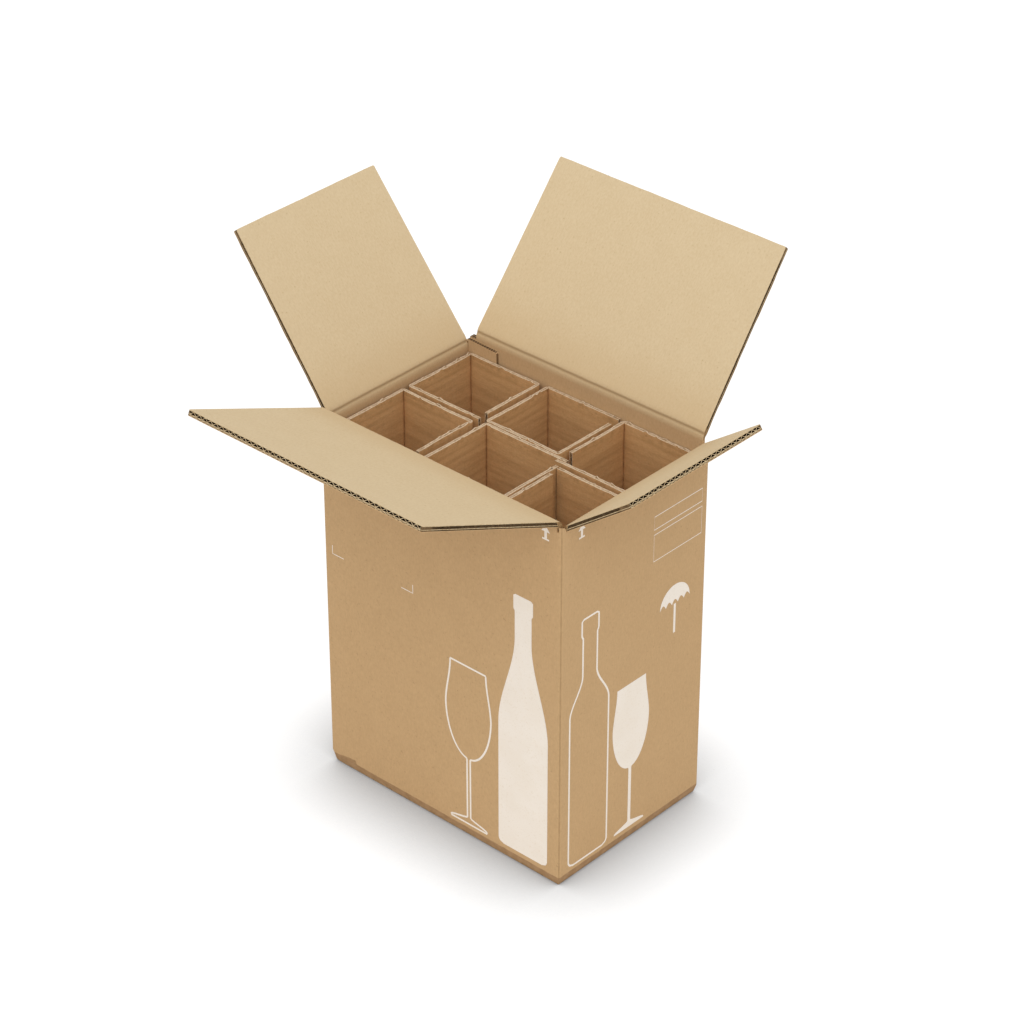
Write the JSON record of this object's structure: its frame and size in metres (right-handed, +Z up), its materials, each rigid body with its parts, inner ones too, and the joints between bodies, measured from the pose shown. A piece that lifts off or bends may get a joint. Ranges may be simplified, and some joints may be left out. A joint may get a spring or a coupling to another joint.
{
  "type": "bottle shipping box",
  "caption": "Open double-wall corrugated carton with folding top flaps, fitted with square board sleeves that keep bottles apart in shipping.",
  "frame": {"origin": "middle of the carton's footprint, on the face it stands on", "axes": "+X along the long side towards the short end flap, +Y from the front wall to the back wall, +Z up"},
  "size_m": [0.5227, 0.5224, 0.5927],
  "materials": {
    "kraft_carton": "matte kraft liner, flexo printed in one pale colour",
    "kraft_sleeve": "matte recycled kraft with visible flute lines"
  },
  "bodies": {
    "carton": {"carton_body": "kraft_carton", "sleeve_back_left": "kraft_sleeve", "sleeve_back_middle": "kraft_sleeve", "sleeve_back_right": "kraft_sleeve", "sleeve_front_left": "kraft_sleeve", "sleeve_front_middle": "kraft_sleeve", "sleeve_front_right": "kraft_sleeve"},
    "front_flap": {"front_flap": "kraft_carton"},
    "back_flap": {"back_flap": "kraft_carton"},
    "left_flap": {"left_flap": "kraft_carton"},
    "right_flap": {"right_flap": "kraft_carton"}
  },
  "joints": [
    {"name": "front_flap_fold", "type": "hinge", "parent": "carton", "child": "front_flap", "pos_m": [0, -0.109, 0.4273], "axis": [-1, 0, 0], "range_deg": [-108.4, 156.6]},
    {"name": "back_flap_fold", "type": "hinge", "parent": "carton", "child": "back_flap", "pos_m": [0, 0.109, 0.4336], "axis": [1, 0, 0], "range_deg": [-136.7, 128.3]},
    {"name": "left_flap_fold", "type": "hinge", "parent": "carton", "child": "left_flap", "pos_m": [-0.161, 0, 0.421], "axis": [0, 1, 0], "range_deg": [-136.7, 128.3]},
    {"name": "right_flap_fold", "type": "hinge", "parent": "carton", "child": "right_flap", "pos_m": [0.161, 0, 0.421], "axis": [0, -1, 0], "range_deg": [-121.4, 143.6]}
  ]
}
